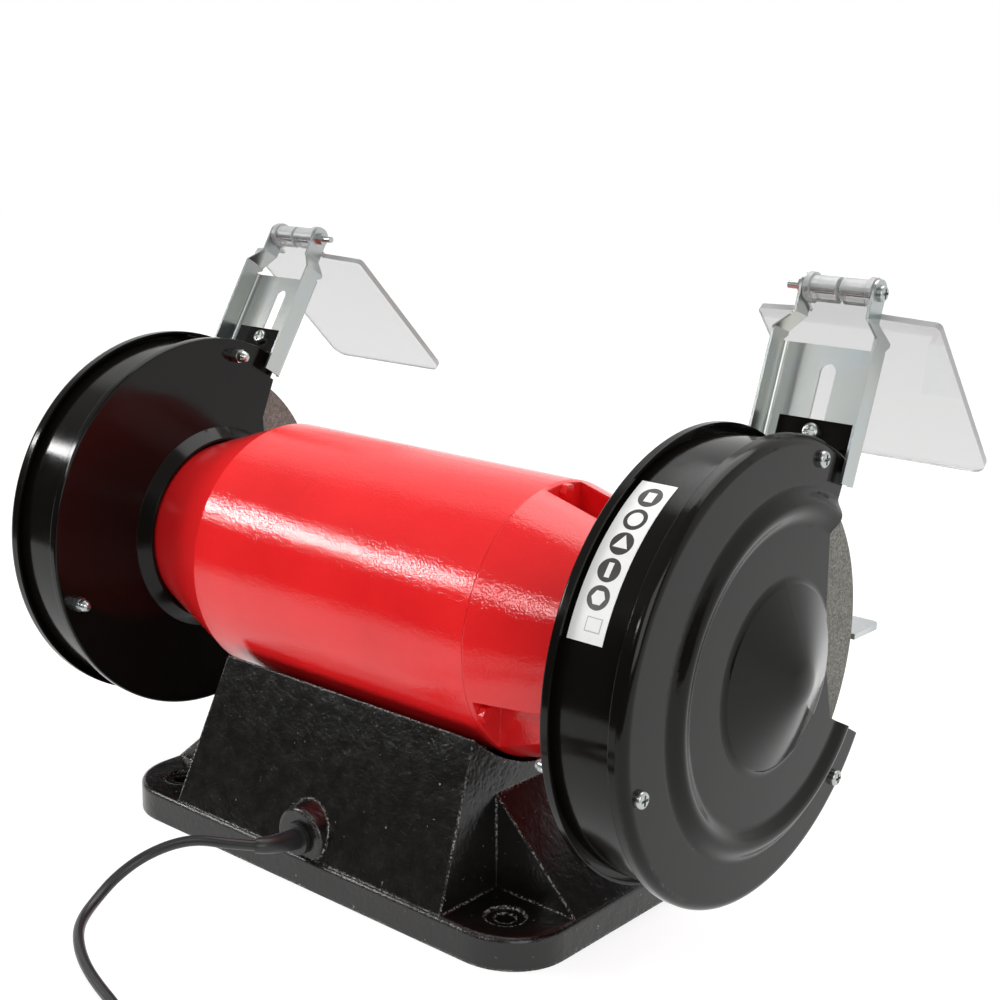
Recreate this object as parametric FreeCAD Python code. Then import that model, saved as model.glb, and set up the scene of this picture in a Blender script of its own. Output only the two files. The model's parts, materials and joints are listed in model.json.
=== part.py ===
import FreeCAD, Part
import math
import os

# Bench grinder with two 200 mm wheels: a cast base, a red motor, two sheet-steel wheel guards,
# tilting eye shields on slotted brackets, and adjustable tool rests.
# Millimetres.  +X runs along the motor shaft, -Y is the operator's side, +Z is up.
# The origin is the centre of the base's underside.  "left" is the wheel at -X.

V = FreeCAD.Vector

# ---- driving dimensions -------------------------------------------------------------------
SHAFT_Z = 157.2            # height of the motor shaft above the bench
SIDES = {"left": -1, "right": 1}

# cast base
BASE_X, BASE_Y, PLATE_T, CORNER_R = 161.0, 105.0, 18.5, 36.0
BODY_FOOT = (105.7, 103.3)
BODY_TOP = (96.8, 68.7)
BODY_TOP_Z = 104.6
SADDLE_R, SADDLE_Z = 98.1, 175.3
CAVITY_FOOT, CAVITY_TOP, CAVITY_Z = (97.0, 94.0), (91.0, 75.0), 64.0
WEDGE_Y, WEDGE_TOP_Y, WEDGE_TOP_Z = 57.0, 53.0, 70.0
HOLE_X, HOLE_Y, HOLE_R = 130.0, 79.0, 5.5
PAD_X, PAD_BOLT_Y = 56.0, 18.0

# motor
MOTOR_R, MOTOR_Z = 77.7, 155.2       # the castings' outside sits a little below the shaft axis
STATOR_R, ROTOR_R = 65.9, 38.0
SEAM_X, CONE_X, END_X = -94.4, 116.0, 184.2
RIGHT_END_R, LEFT_END_R = 54.5, 54.0
CORE_X0, CORE_LENGTH = -33.0, 86.0
WINDING_PITCH_R, WINDING_BAR_R, WINDING_SLOTS = 51.0, 3.6, 24
BEARING_R, BEARING_BORE_R, BEARING_W, BEARING_X = 20.0, 8.5, 12.0, 160.0
COVER_BOLT_R, COVER_BOLT_ANGLES = 72.9, (90.0, -30.0, 210.0)

# grinding wheels and what holds them on the shaft
WHEEL_R, WHEEL_X0, WHEEL_W, ARBOR_R = 100.0, 195.6, 24.8, 7.95
BLOTTER_T, BLOTTER_R, FLANGE_R, FLANGE_T = 0.6, 37.0, 35.0, 8.0

# wheel guards; their centre lies behind and a little above the shaft
GUARD_Y, GUARD_Z = 7.7, SHAFT_Z + 1.6
GUARD_R, BAND_R, SHEET = 120.0, 115.0, 1.6
GUARD_X0, GUARD_X1 = 184.3, 232.2
INNER_LIP, OUTER_LIP, COVER_EDGE_R = 5.0, 9.0, 5.0
GUARD_SCREW_R = 110.0
GUARD_SCREW_ANGLES = {"left": (109.0, -16.5, -135.5), "right": (104.0, -16.5, -135.5)}
DOME_NUT_L = 11.5
OPENING = ((-60.0, 267.0), (-42.0, 222.0), (-47.0, 160.0), (-60.0, 119.0), (-105.0, 94.5))
BAND_LOW_ANGLE = -149.5
BAND_FLAT_ANGLE = 102.0    # the band leaves its circle here and runs straight to the shield tab
COLLAR_FOOT, COLLAR_CROWN, COLLAR_INNER, COLLAR_H = 66.0, 59.8, 55.9, 7.0
BAND_SLOT = (187.4, 193.6, -31.2, -29.0)
LABEL_X0, LABEL_X1, LABEL_LOW, LABEL_HIGH = -210.0, -190.2, 18.6, 61.3

# eye shields: the bracket stands on a tab bent up from the guard band
BRACKET_X, BRACKET_HALF, BRACKET_SHEET, BEND_R = 206.7, 29.5, 1.5, 4.0
TAB_Y = {"left": -64.0, "right": -63.0}
TAB_Z = {"left": 267.0, "right": 269.5}
TAB_LEAN = {"left": 18.0, "right": 31.0}
TAB_HALF, TAB_TOP = 22.0, 6.8
WEB_BOTTOM, WEB_TOP, FLANGE_BOTTOM, FLANGE_DEPTH = -18.0, 45.0, -24.0, 14.4
SLOT_BOTTOM, SLOT_TOP, SLOT_HALF = -14.0, 36.0, 4.4
HINGE_UP, HINGE_OUT, EAR_HALF, EAR_R = 73.5, 4.6, 19.5, 7.0
SHIELD_LENGTH, SHIELD_HALF, SHIELD_T = 130.0, 51.5, 3.5
SHIELD_TILT = {"left": 48.0, "right": 44.0}
KNUCKLE_R, HINGE_PIN_R = 6.3, 2.0

# tool rests
REST_X0, REST_X1, REST_FRONT, REST_BACK = 174.0, 220.5, -133.5, -103.5
REST_Z, REST_T, REST_BOLT = 152.0, 3.2, (-96.0, 118.0)

# switch on the sloping front of the base
SWITCH_Z, SWITCH_HALF_X, SWITCH_HALF_V, ROCKER_PIN_R = 56.0, 17.0, 15.0, 1.5

# mains lead
CORD_R = 3.0
GLAND = V(0.8, 103.0, 28.3)
RELIEF_END, RELIEF_HEADING = V(6.2, 130.4, 31.0), V(0.757, 0.652, 0.049)
COIL_CENTRE = V(-78.0, 316.0, 1.0)
COIL_R0, COIL_R1, COIL_H = 23.0, 42.5, 18.0
CORD_POINTS = [
    (18.5, 141.0, 31.8), (33.0, 149.0, 32.3), (46.0, 158.0, 28.0), (56.0, 171.0, 21.0), (60.0, 186.0, 13.0),
    (58.0, 200.0, 6.5), (52.0, 214.0, 3.2), (41.0, 226.0, 3.1), (26.0, 236.5, 3.1), (9.0, 245.4, 3.1),
    (-10.0, 252.5, 3.1), (-29.0, 258.0, 3.1), (-49.0, 264.5, 3.1), (-69.5, 273.5, 3.1), (-89.3, 285.0, 3.1),
]
TAIL_POINTS = [
    (-103.2, 346.0, 9.8), (-87.0, 357.0, 7.4), (-76.0, 370.0, 5.6), (-67.5, 385.0, 8.0),
    (-61.5, 402.0, 14.5), (-57.0, 419.0, 18.2),
]
TIE_WIDTH, TIE_T = 7.0, 0.8


# ---- small helpers ------------------------------------------------------------------------
def cyl_x(x0, x1, r, y=0.0, z=SHAFT_Z):
    """Round bar along X between two stations."""
    return Part.makeCylinder(r, abs(x1 - x0), V(min(x0, x1), y, z), V(1, 0, 0))


def box(x0, x1, y0, y1, z0, z1):
    """Box between two corners given in any order."""
    low = V(min(x0, x1), min(y0, y1), min(z0, z1))
    return Part.makeBox(abs(x1 - x0), abs(y1 - y0), abs(z1 - z0), low)


def ring_x(x0, x1, outer, inner, y=0.0, z=SHAFT_Z):
    """Round sleeve along X."""
    bore = cyl_x(min(x0, x1) - 1, max(x0, x1) + 1, inner, y, z)
    return cyl_x(x0, x1, outer, y, z).cut(bore)


def turned(profile, y=0.0, z=SHAFT_Z):
    """Solid turned about the X axis through (y, z) from a closed list of (x, radius) points."""
    points = [V(x, y, z + r) for x, r in profile]
    wire = Part.makePolygon(points + [points[0]])
    return Part.Face(wire).revolve(V(0, y, z), V(1, 0, 0), 360)


def prism_x(points, x0, x1):
    """Outline in the YZ plane, extruded along X."""
    corners = [V(min(x0, x1), y, z) for y, z in points]
    face = Part.Face(Part.makePolygon(corners + [corners[0]]))
    return face.extrude(V(abs(x1 - x0), 0, 0))


def frustum(foot, top, z0, z1, x_mid=0.0):
    """Straight-sided block between two rectangles given by half sizes."""
    wires = []
    for (hx, hy), z in ((foot, z0), (top, z1)):
        corners = [V(x_mid + sx * hx, sy * hy, z) for sx, sy in ((1, 1), (-1, 1), (-1, -1), (1, -1))]
        wires.append(Part.makePolygon(corners + [corners[0]]))
    return Part.makeLoft(wires, True, True)


def hexagon(flats):
    """Six corner offsets of a hexagon, from its width across flats."""
    r = flats / math.sqrt(3)
    return [(r * math.cos(math.radians(60 * i)), r * math.sin(math.radians(60 * i))) for i in range(6)]


def hexagon_x(x0, x1, flats, y, z):
    """Hexagonal nut blank along X."""
    return prism_x([(y + a, z + b) for a, b in hexagon(flats)], x0, x1)


def hexagon_z(base, flats, height):
    """Hexagonal nut blank standing on a point."""
    corners = [base + V(a, b, 0) for a, b in hexagon(flats)]
    return Part.Face(Part.makePolygon(corners + [corners[0]])).extrude(V(0, 0, height))


def hex_nut_x(x0, x1, flats, bore, y, z):
    return hexagon_x(x0, x1, flats, y, z).cut(cyl_x(min(x0, x1) - 1, max(x0, x1) + 1, bore, y, z))


def dome_nut_x(seat, sense, flats, bore, y, z):
    """Acorn nut along X with its dome towards sense."""
    r = 0.48 * flats
    blank = hexagon_x(seat, seat + sense * 0.42 * DOME_NUT_L, flats, y, z)
    shape = [(0.42, 0.0), (0.42, 1.0), (0.7, 0.94), (0.88, 0.72), (0.97, 0.4), (1.0, 0.0)]
    dome = turned([(seat + sense * a * DOME_NUT_L, b * r) for a, b in shape], y, z)
    hole = cyl_x(seat - sense, seat + sense * 0.7 * DOME_NUT_L, bore, y, z)
    return blank.fuse(dome).cut(hole)


def pan_screw_x(x_seat, sense, head_r, head_h, shank_r, length, y, z):
    """Cross-recessed pan-head screw along X; its head stands out of x_seat towards sense."""
    head = cyl_x(x_seat, x_seat + sense * head_h, head_r, y, z)
    rim = [e for e in head.Edges if abs(e.CenterOfMass.x - (x_seat + sense * head_h)) < 0.01]
    head = head.makeFillet(head_h * 0.55, rim)
    tip = x_seat + sense * (head_h + 0.2)
    floor = x_seat + sense * head_h * 0.45
    for hy, hz in ((0.16 * head_r, 0.62 * head_r), (0.62 * head_r, 0.16 * head_r)):
        head = head.cut(box(floor, tip, y - hy, y + hy, z - hz, z + hz))
    return head.fuse(cyl_x(x_seat, x_seat - sense * length, shank_r, y, z)).removeSplitter()


def polar(angle, radius, y=GUARD_Y, z=GUARD_Z):
    """Point in the YZ plane at an angle from +Y towards +Z."""
    a = math.radians(angle)
    return (y + radius * math.cos(a), z + radius * math.sin(a))


def placed(shape, origin, x_axis, y_axis, z_axis):
    """Moves a shape built about the origin into a frame given by its three axes."""
    m = FreeCAD.Matrix(x_axis.x, y_axis.x, z_axis.x, origin.x,
                       x_axis.y, y_axis.y, z_axis.y, origin.y,
                       x_axis.z, y_axis.z, z_axis.z, origin.z, 0, 0, 0, 1)
    copy = shape.copy()
    copy.transformShape(m, True)
    return copy


def mirror_to(side, shape):
    """Parts of a guard are drawn at +X and mirrored for the left side."""
    return shape if SIDES[side] > 0 else shape.mirror(V(0, 0, 0), V(1, 0, 0))


parts = {}


def add(name, *shapes):
    """Stores a node: one solid, or a group of separate solids."""
    solids = [s for shape in shapes for s in shape.Solids]
    parts[name] = solids[0] if len(solids) == 1 else Part.makeCompound(solids)


# ---- base -----------------------------------------------------------------------------------
def base_casting():
    plate = box(-BASE_X, BASE_X, -BASE_Y, BASE_Y, 0, PLATE_T)
    corners = [e for e in plate.Edges if abs(e.Vertexes[0].Z - e.Vertexes[1].Z) > 1]
    plate = plate.makeFillet(CORNER_R, corners)
    top_rim = [e for e in plate.Edges if e.BoundBox.ZMin > PLATE_T - 0.01]
    plate = plate.makeFillet(3.0, top_rim)
    body = frustum(BODY_FOOT, BODY_TOP, PLATE_T - 1, BODY_TOP_Z)
    casting = plate.fuse(body)
    for sign in (-1, 1):
        x_in, x_foot, x_top = 80.0, 159.5, 101.0
        wires = []
        for x_out, hy, z in ((x_foot, WEDGE_Y, PLATE_T - 0.5), (x_top, WEDGE_TOP_Y, WEDGE_TOP_Z)):
            pts = [V(sign * x, y, z) for x, y in ((x_in, hy), (x_out, hy), (x_out, -hy), (x_in, -hy))]
            wires.append(Part.makePolygon(pts + [pts[0]]))
        casting = casting.fuse(Part.makeLoft(wires, True, True))
    boss = Part.makeCone(21.8, 17.0, 23.0, V(GLAND.x, GLAND.y - 23.0, GLAND.z), V(0, 1, 0))
    rim = [e for e in boss.Edges if abs(e.CenterOfMass.y - GLAND.y) < 0.01]
    boss = boss.makeFillet(2.5, rim)
    boss = boss.common(box(-60, 60, 0, 200, PLATE_T - 0.5, 100))
    casting = casting.fuse(boss)
    casting = casting.cut(frustum(CAVITY_FOOT, CAVITY_TOP, -1.0, CAVITY_Z))
    casting = casting.cut(box(-CAVITY_FOOT[0] - 5, CAVITY_FOOT[0] + 5, -99, 99, -1, 3.2))
    casting = casting.cut(cyl_x(-130, 130, SADDLE_R, 0, SADDLE_Z))
    for sign in (-1, 1):
        pad = box(sign * PAD_X - 18, sign * PAD_X + 18, -30, 30, 70, 96)
        casting = casting.fuse(pad.cut(cyl_x(-130, 130, MOTOR_R + 0.1, 0, MOTOR_Z)))
    for sx in (-1, 1):
        for sy in (-1, 1):
            hole = Part.makeCylinder(HOLE_R, PLATE_T + 4, V(sx * HOLE_X, sy * HOLE_Y, -1))
            seat = Part.makeCylinder(11.0, 3.0, V(sx * HOLE_X, sy * HOLE_Y, PLATE_T - 1.2))
            bolt = Part.makeCylinder(4.2, 60, V(sx * PAD_X, sy * PAD_BOLT_Y, 50))
            screw = Part.makeCylinder(1.7, 9, V(sx * 99.2, sy * 60, 3))
            casting = casting.cut(hole).cut(seat).cut(bolt).cut(screw)
    gland_bore = Part.makeCylinder(6.6, 60, V(GLAND.x, GLAND.y - 50, GLAND.z), V(0, 1, 0))
    casting = casting.cut(gland_bore)
    casting = casting.cut(front_frame(Part.makeBox(26.8, 22.8, 40, V(-13.4, -11.4, -30))))
    return casting.removeSplitter()


def front_frame(shape):
    """Local x across, y up the slope, z out of the sloping front face, at the switch."""
    lean = math.atan2(BODY_FOOT[1] - BODY_TOP[1], BODY_TOP_Z - PLATE_T)
    depth = BODY_FOOT[1] - math.tan(lean) * (SWITCH_Z - PLATE_T)
    up = V(0, math.sin(lean), math.cos(lean))
    out = V(0, -math.cos(lean), math.sin(lean))
    return placed(shape, V(0, -depth, SWITCH_Z), V(1, 0, 0), up, out)


def bottom_plate():
    plate = box(-101.5, 101.5, -98.5, 98.5, 1.6, 3.1)
    for sx in (-1, 1):
        for sy in (-1, 1):
            plate = plate.cut(Part.makeCylinder(2.2, 4, V(sx * 99.2, sy * 60, 0)))
    return plate


def bottom_plate_screws():
    screws = []
    for sx in (-1, 1):
        for sy in (-1, 1):
            head = Part.makeCylinder(2.2, 1.2, V(sx * 99.2, sy * 60, 0.3))
            screws.append(head.fuse(Part.makeCylinder(1.6, 9, V(sx * 99.2, sy * 60, 1.5))))
    return screws


def switch_body():
    flange = Part.makeBox(2 * SWITCH_HALF_X, 2 * SWITCH_HALF_V, 2.4, V(-SWITCH_HALF_X, -SWITCH_HALF_V, 0.1))
    edges = [e for e in flange.Edges if e.BoundBox.ZMax > 2.4]
    flange = flange.makeFillet(1.1, edges)
    shell = flange.fuse(Part.makeBox(26, 22, 24, V(-13, -11, -23.9)))
    shell = shell.cut(Part.makeBox(17.2, 19.2, 12, V(-8.6, -9.6, -7.0)))
    pivot = Part.makeCylinder(ROCKER_PIN_R + 0.05, 22.4, V(-11.2, 0, -2.2), V(1, 0, 0))
    return front_frame(shell.cut(pivot).removeSplitter())


def switch_rocker():
    """Drawn level, then pressed down at its lower half: the off position."""
    outline = [(-8.6, -0.6), (-8.6, 3.9), (0, 2.6), (8.6, 3.9), (8.6, -0.6), (0, -4.5)]
    corners = [V(-8.0, v, w) for v, w in outline]
    rocker = Part.Face(Part.makePolygon(corners + [corners[0]])).extrude(V(16.0, 0, 0))
    rocker = rocker.fuse(Part.makeCylinder(ROCKER_PIN_R, 22.0, V(-11.0, 0, -2.2), V(1, 0, 0)))
    rocker.rotate(V(0, 0, -2.2), V(1, 0, 0), 8.0)
    return front_frame(rocker)


def strain_relief():
    """Flanged bush in the gland boss with a tapered sleeve that bends towards the lead."""
    bush = Part.makeCylinder(6.5, 16, GLAND - V(0, 16, 0), V(0, 1, 0))
    bush = bush.fuse(Part.makeCylinder(9.5, 3.0, GLAND + V(0, 0.1, 0), V(0, 1, 0)))
    bush = bush.fuse(Part.makeCylinder(6.5, 1.0, GLAND - V(0, 0.5, 0), V(0, 1, 0)))
    start = GLAND + V(0, 3.0, 0)
    middle = RELIEF_END - RELIEF_HEADING * ((RELIEF_END.x - start.x) / RELIEF_HEADING.x)
    root_r, end_r = 6.0, 4.2
    wires = []
    steps = 6
    for i in range(steps + 1):
        t = i / steps
        centre = start * (1 - t) ** 2 + middle * (2 * t * (1 - t)) + RELIEF_END * t ** 2
        heading = (middle - start) * (1 - t) + (RELIEF_END - middle) * t
        wires.append(Part.Wire(Part.makeCircle(root_r + (end_r - root_r) * t, centre, heading)))
    return bush.fuse(Part.makeLoft(wires, True, False))


# ---- mains lead -----------------------------------------------------------------------------
def round_tube(points, label):
    """Tube of straight runs joined by tangent arcs, each as large as its two runs allow."""
    edges = []
    radii = []
    start = points[0]
    for before, corner, after in zip(points, points[1:], points[2:]):
        a, b = before - corner, after - corner
        shorter = min(a.Length, b.Length)
        half_turn = (math.pi - a.getAngle(b)) / 2
        reach = 0.45 * shorter
        radii.append(reach / math.tan(half_turn))
        t0 = corner + V(a).normalize() * reach
        t1 = corner + V(b).normalize() * reach
        middle_dir = (V(a).normalize() + V(b).normalize()).normalize()
        centre = corner + middle_dir * (radii[-1] / math.cos(half_turn))
        middle = centre - middle_dir * radii[-1]
        edges.append(Part.makeLine(start, t0))
        edges.append(Part.Arc(t0, middle, t1).toShape())
        start = t1
    edges.append(Part.makeLine(start, points[-1]))
    path = Part.Wire(edges)
    section = Part.Wire(Part.makeCircle(CORD_R, points[0], points[1] - points[0]))
    tube = path.makePipeShell([section], True, False)
    print(label, "length", round(path.Length, 1), "arc radii", [round(r, 1) for r in radii])
    print(label, "volume ratio", round(tube.Volume / (math.pi * CORD_R ** 2 * path.Length), 4))
    return tube


def coil():
    ring = Part.makeCylinder(COIL_R1, COIL_H, COIL_CENTRE)
    ring = ring.cut(Part.makeCylinder(COIL_R0, COIL_H + 2, COIL_CENTRE - V(0, 0, 1)))
    return ring.makeFillet(3.0, [e for e in ring.Edges if e.BoundBox.ZLength < 0.01])


def coil_tie(ring):
    """Flat strap round the coil's section."""
    x, y, z = COIL_CENTRE
    strap = box(x + COIL_R0 - TIE_T, x + COIL_R1 + TIE_T, y - TIE_WIDTH / 2, y + TIE_WIDTH / 2,
                z - TIE_T, z + COIL_H + TIE_T)
    edges = [e for e in strap.Edges if abs(e.BoundBox.YLength - TIE_WIDTH) < 0.01]
    return strap.makeFillet(2.5, edges).cut(ring)


def plug():
    """Round earthed plug with a tapering grip, lying on its side at the end of the tail."""
    start = V(*TAIL_POINTS[-1])
    heading = start - V(*TAIL_POINTS[-2])
    heading = V(heading.x, heading.y, 0).normalize()
    profile = [(0, 4.3), (16, 6.0), (24, 12.0), (40, 14.5), (43, 17.9), (62, 17.9)]
    points = [V(0, 0, 0)] + [V(r, 0, s) for s, r in profile] + [V(0, 0, 62)]
    face = Part.Face(Part.makePolygon(points + [points[0]]))
    body = face.revolve(V(0, 0, 0), V(0, 0, 1), 360)
    pins = []
    for sign in (-1, 1):
        pin = Part.makeCylinder(2.4, 18.5, V(sign * 9.5, 0, 62.0))
        pins.append(pin.makeFillet(1.6, [e for e in pin.Edges if e.CenterOfMass.z > 80]))
    across = V(0, 0, 1).cross(heading)
    axes = (across, heading.cross(across), heading)
    return placed(body, start, *axes), [placed(pin, start, *axes) for pin in pins]


# ---- motor ----------------------------------------------------------------------------------
def cover_bolt_places():
    return [polar(angle, COVER_BOLT_R, 0, MOTOR_Z) for angle in COVER_BOLT_ANGLES]


def motor_housing():
    outside = [(SEAM_X, 0), (SEAM_X, MOTOR_R), (CONE_X, MOTOR_R), (END_X, RIGHT_END_R), (END_X, 0)]
    shell = turned(outside, 0, MOTOR_Z)
    inside = turned([(SEAM_X - 1, 0), (SEAM_X - 1, STATOR_R + 0.1), (112.0, STATOR_R + 0.1), (148.0, 44.0),
                     (158.0, 30.0), (158.0, BEARING_R + 0.02), (172.0, BEARING_R + 0.02), (172.0, 12.0),
                     (END_X + 1, 12.0), (END_X + 1, 0)])
    shell = shell.cut(inside)
    for y, z in cover_bolt_places():
        shell = shell.cut(cyl_x(SEAM_X - 1, SEAM_X + 26, 2.55, y, z))
    for sx in (-1, 1):
        for sy in (-1, 1):
            shell = shell.cut(Part.makeCylinder(4.05, 12, V(sx * PAD_X, sy * PAD_BOLT_Y, 77.5)))
    for y, z in mount_screw_places():
        shell = shell.cut(cyl_x(END_X - 14, END_X + 1, 3.05, y, z))
    return shell


def end_cover():
    face = SEAM_X - 0.1
    cover = turned([(face, 0), (face, MOTOR_R), (-END_X, LEFT_END_R), (-END_X, 0)], 0, MOTOR_Z)
    cover = cover.fuse(cyl_x(-88.0, face - 1, STATOR_R))
    inside = turned([(-87.0, 0), (-87.0, 60.0), (-88.0, 60.0), (-98.5, 58.0), (-104.0, 46.0),
                     (-150.0, 42.0), (-158.0, 30.0), (-158.0, BEARING_R + 0.02),
                     (-172.0, BEARING_R + 0.02), (-172.0, 12.0), (-END_X - 1, 12.0), (-END_X - 1, 0)])
    cover = cover.cut(inside)
    wall = SEAM_X - 3.1
    cover = cover.cut(box(wall, -200, -15, 15, SHAFT_Z + 54, SHAFT_Z + 90))
    for sign in (-1, 1):
        cover = cover.cut(box(wall, -200, sign * 48, sign * 90, 60, SHAFT_Z - 30.2))
    for y, z in cover_bolt_places():
        cover = cover.cut(cyl_x(wall - 1, SEAM_X + 1, 2.55, y, z))
    for y, z in mount_screw_places():
        cover = cover.cut(cyl_x(-END_X + 14, -END_X - 1, 3.05, y, z))
    return cover.removeSplitter()


def end_cover_bolts():
    bolts = []
    for y, z in cover_bolt_places():
        seat = SEAM_X - 3.2
        head = hexagon_x(seat, seat - 4, 8.0, y, z)
        bolts.append(head.fuse(cyl_x(seat, seat + 27, 2.45, y, z)))
    return bolts


def mount_screw_places():
    return [polar(45 + 90 * i, 38.0, 0, SHAFT_Z) for i in range(4)]


def motor_mount_bolts():
    bolts = []
    for sx in (-1, 1):
        for sy in (-1, 1):
            foot = V(sx * PAD_X, sy * PAD_BOLT_Y, CAVITY_Z - 5.6)
            head = hexagon_z(foot, 13.0, 5.5)
            bolts.append(head.fuse(Part.makeCylinder(3.95, 25.0, foot + V(0, 0, 5.5))))
    return bolts


def stator_core():
    core = ring_x(CORE_X0, CORE_X0 + CORE_LENGTH, STATOR_R, ROTOR_R + 0.6)
    for i in range(WINDING_SLOTS):
        y, z = polar(360.0 * i / WINDING_SLOTS, WINDING_PITCH_R, 0, SHAFT_Z)
        core = core.cut(cyl_x(CORE_X0 - 1, CORE_X0 + CORE_LENGTH + 1, WINDING_BAR_R + 0.3, y, z))
    return core


def stator_windings():
    x0, x1 = CORE_X0 - 0.5, CORE_X0 + CORE_LENGTH + 0.5
    copper = ring_x(x0 - 26, x0, 60.0, 44.0).fuse(ring_x(x1, x1 + 26, 60.0, 44.0))
    for i in range(WINDING_SLOTS):
        y, z = polar(360.0 * i / WINDING_SLOTS, WINDING_PITCH_R, 0, SHAFT_Z)
        copper = copper.fuse(cyl_x(x0 - 1, x1 + 1, WINDING_BAR_R, y, z))
    return copper


def rotor_core():
    x0, x1 = CORE_X0, CORE_X0 + CORE_LENGTH
    core = ring_x(x0, x1, ROTOR_R, 11.02).fuse(ring_x(x0 - 8, x0, ROTOR_R - 3, 20.0))
    return core.fuse(ring_x(x1, x1 + 8, ROTOR_R - 3, 20.0))


def shaft():
    half = [(0, 11.0), (150.0, 11.0), (150.0, 10.0), (BEARING_X, 10.0), (BEARING_X, BEARING_BORE_R),
            (187.0, BEARING_BORE_R), (187.0, ARBOR_R), (242.0, ARBOR_R), (243.5, ARBOR_R - 1.5), (243.5, 0)]
    left = [(-x, r) for x, r in reversed(half)]
    return turned(left + half[1:])


def bearing_rings(inner):
    rings = []
    for sign in (-1, 1):
        x0, x1 = sign * BEARING_X, sign * (BEARING_X + BEARING_W)
        if inner:
            ring = ring_x(min(x0, x1), max(x0, x1), 11.6, BEARING_BORE_R + 0.02)
        else:
            ring = ring_x(min(x0, x1), max(x0, x1), BEARING_R, 16.9)
        groove = Part.makeTorus(14.25, 3.6, V((x0 + x1) / 2, 0, SHAFT_Z), V(1, 0, 0))
        rings.append(ring.cut(groove))
    return rings


def bearing_balls():
    balls = []
    for sign in (-1, 1):
        for i in range(8):
            y, z = polar(45 * i, 14.25, 0, SHAFT_Z)
            balls.append(Part.makeSphere(3.3, V(sign * (BEARING_X + BEARING_W / 2), y, z)))
    return balls


def preload_washer():
    return ring_x(172.0 - 13.8, 172.0 - 12.2, 19.8, 16.0)


# ---- wheels ---------------------------------------------------------------------------------
def wheel(side):
    x0, x1 = WHEEL_X0, WHEEL_X0 + WHEEL_W
    body = cyl_x(x0, x1, WHEEL_R)
    body = body.makeFillet(1.0, [e for e in body.Edges if e.BoundBox.XLength < 0.01])
    return mirror_to(side, body.cut(cyl_x(x0 - 1, x1 + 1, ARBOR_R + 0.05)))


def wheel_flanges():
    """Relieved steel flanges, an inner and an outer one on each wheel."""
    inner_x = WHEEL_X0 - BLOTTER_T
    outer_x = WHEEL_X0 + WHEEL_W + BLOTTER_T
    flanges = []
    for side in SIDES:
        for face, away in ((inner_x, -1), (outer_x, 1)):
            back = face + away * FLANGE_T
            bore = ARBOR_R + 0.05
            profile = [(face, FLANGE_R), (face + away * 2.5, FLANGE_R), (back, 20.0), (back, bore),
                       (face + away * 1.5, bore), (face + away * 1.5, 22.0), (face, 22.0)]
            flanges.append(mirror_to(side, turned(profile)))
    return flanges


def wheel_blotters():
    discs = []
    for side in SIDES:
        for x0 in (WHEEL_X0 - BLOTTER_T, WHEEL_X0 + WHEEL_W):
            discs.append(mirror_to(side, ring_x(x0, x0 + BLOTTER_T, BLOTTER_R, ARBOR_R + 0.05)))
    return discs


def arbor_nuts():
    x0 = WHEEL_X0 + WHEEL_W + BLOTTER_T + FLANGE_T
    return [mirror_to(side, hex_nut_x(x0, x0 + 12.0, 24.0, ARBOR_R + 0.02, 0, SHAFT_Z)) for side in SIDES]


# ---- wheel guards ---------------------------------------------------------------------------
def front_opening():
    """The space cut out of both guard plates where the work meets the wheel."""
    outline = [(-220.0, OPENING[0][1]), OPENING[0], *OPENING[1:], (-220.0, OPENING[-1][1])]
    return prism_x(outline, 150, 270)


def guard_screw_places(side):
    return [polar(angle, GUARD_SCREW_R) for angle in GUARD_SCREW_ANGLES[side]]


def bracket_space(side):
    """Room in front of the shield tab that the plates leave to the sliding bracket."""
    return on_tab(side, Part.makeBox(120, 60, 30, V(150, -26, -29.2)))


def guard_inner(side):
    x0 = GUARD_X0
    plate = cyl_x(x0, x0 + SHEET, GUARD_R, GUARD_Y, GUARD_Z)
    lip = ring_x(x0, x0 + INNER_LIP, GUARD_R, GUARD_R - SHEET, GUARD_Y, GUARD_Z)
    dish = plate.fuse(lip)
    rims = [e for e in dish.Edges if e.BoundBox.YLength > 2 * GUARD_R - 1]
    dish = dish.makeFillet(1.4, [e for e in rims if abs(e.CenterOfMass.x - x0) < 0.01])
    dish = dish.cut(ring_x(x0 - 1, x0 + 3, COLLAR_FOOT, COLLAR_INNER, 0, MOTOR_Z))
    crown, hollow = x0 - COLLAR_H, x0 - COLLAR_H + 1.8
    collar = turned([(x0, COLLAR_FOOT), (crown, COLLAR_CROWN), (crown, COLLAR_CROWN - 1.6),
                     (x0, COLLAR_INNER), (x0 + SHEET, COLLAR_INNER), (x0 + SHEET, COLLAR_INNER + 1.2),
                     (hollow, COLLAR_CROWN - 0.6), (x0 + SHEET, COLLAR_FOOT - 0.7),
                     (x0 + SHEET, COLLAR_FOOT)], 0, MOTOR_Z)
    dish = dish.fuse(collar).cut(front_opening())
    dish = dish.cut(cyl_x(x0 - 9, x0 + 9, 20.0))
    for y, z in guard_screw_places(side):
        dish = dish.cut(cyl_x(x0 - 1, x0 + 9, 2.7, y, z))
    for y, z in mount_screw_places():
        dish = dish.cut(cyl_x(x0 - 1, x0 + 9, 3.2, y, z))
    for y, z in REST_ARM_SCREWS:
        dish = dish.cut(cyl_x(x0 - 1, x0 + 9, 2.7, y, z))
    return mirror_to(side, dish.cut(bracket_space(side)).removeSplitter())


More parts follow.
